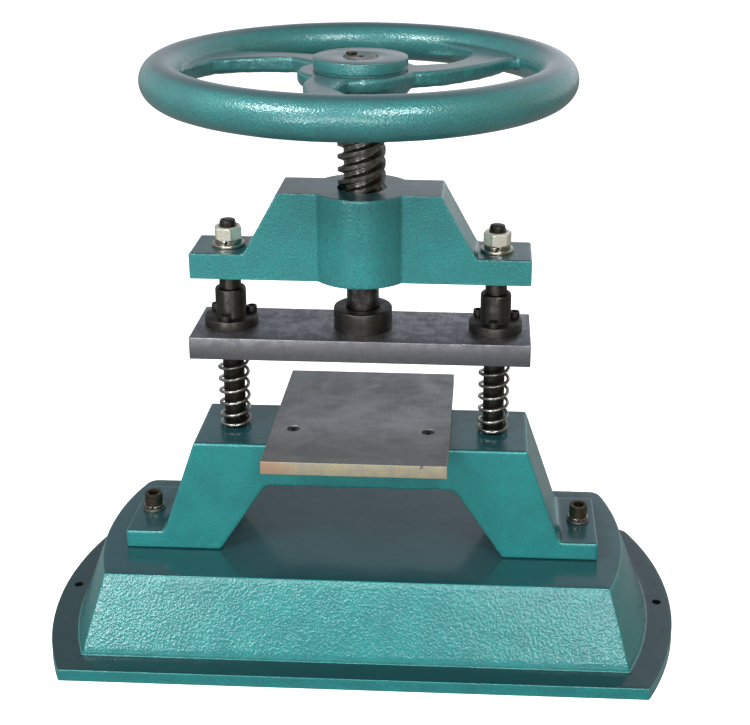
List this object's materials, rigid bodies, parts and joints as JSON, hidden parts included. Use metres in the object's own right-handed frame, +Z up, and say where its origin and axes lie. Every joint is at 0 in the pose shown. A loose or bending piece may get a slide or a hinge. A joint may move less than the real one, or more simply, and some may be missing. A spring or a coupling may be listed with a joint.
{
  "type": "hand wheel screw press",
  "caption": "Bench screw press with a spoked handwheel, multi-start screw, guided platen on spring-returned columns and a plate bed on a bridge.",
  "frame": {"origin": "middle of the base casting's underside, on the screw's axis", "axes": "+X to the operator's right along the base, +Y away from the operator, +Z up the screw"},
  "size_m": [0.636, 0.4, 0.5822],
  "materials": {
    "green_enamel": "glossy hammered teal enamel on cast iron",
    "ground_steel": "dark ground steel plate with rubbed edges",
    "black_steel": "blackened, oiled steel",
    "bright_steel": "bright zinc plate, slightly yellowed",
    "spring_steel": "drawn spring wire, satin",
    "bronze": "turned bronze, oiled",
    "brown_steel": "blackened steel gone brown with light rust"
  },
  "bodies": {
    "frame": {"base_casting": "green_enamel", "bridge_casting": "green_enamel", "bed_plate": "ground_steel", "bed_screw_1": "black_steel", "bed_screw_2": "black_steel", "column_left": "black_steel", "column_right": "black_steel", "column_flat_washer_left": "bright_steel", "column_flat_washer_right": "bright_steel", "column_spring_washer_left": "spring_steel", "column_spring_washer_right": "spring_steel", "column_nut_left": "bright_steel", "column_nut_right": "bright_steel", "return_spring_left": "spring_steel", "return_spring_right": "spring_steel", "upper_beam": "green_enamel", "spindle_nut": "bronze", "nut_set_screw": "black_steel", "foot_bolt_left": "brown_steel", "foot_bolt_right": "brown_steel", "foot_flat_washer_left": "bright_steel", "foot_flat_washer_right": "bright_steel", "foot_spring_washer_left": "spring_steel", "foot_spring_washer_right": "spring_steel"},
    "platen": {"platen": "ground_steel", "guide_bush_left": "black_steel", "guide_bush_right": "black_steel", "bush_screw_left_1": "black_steel", "bush_screw_left_2": "black_steel", "bush_screw_left_3": "black_steel", "bush_screw_right_1": "black_steel", "bush_screw_right_2": "black_steel", "bush_screw_right_3": "black_steel", "thrust_cap": "black_steel", "thrust_washer": "bronze", "cap_screw_1": "black_steel", "cap_screw_2": "black_steel", "cap_screw_3": "black_steel", "cap_screw_4": "black_steel"},
    "spindle": {"spindle": "black_steel", "spindle_end_nut": "black_steel", "handwheel": "green_enamel", "wheel_key": "brown_steel", "wheel_grub_screw": "black_steel"}
  },
  "joints": [
    {"name": "platen_slide", "type": "slide", "parent": "frame", "child": "platen", "axis": [0, 0, -1], "range_m": [0, 0.05], "stiffness_N_per_m": 20000, "springref_m": -0.0115, "deforming": ["return_spring_left", "return_spring_right"]},
    {"name": "spindle_turn", "type": "hinge", "parent": "platen", "child": "spindle", "pos_m": [0, 0, 0.55], "axis": [0, 0, -1], "range_deg": [0, 487.5]}
  ],
  "couplings": [
    {"joint": "platen_slide", "follows": "spindle_turn", "m_per_rad": 0.0058728}
  ]
}
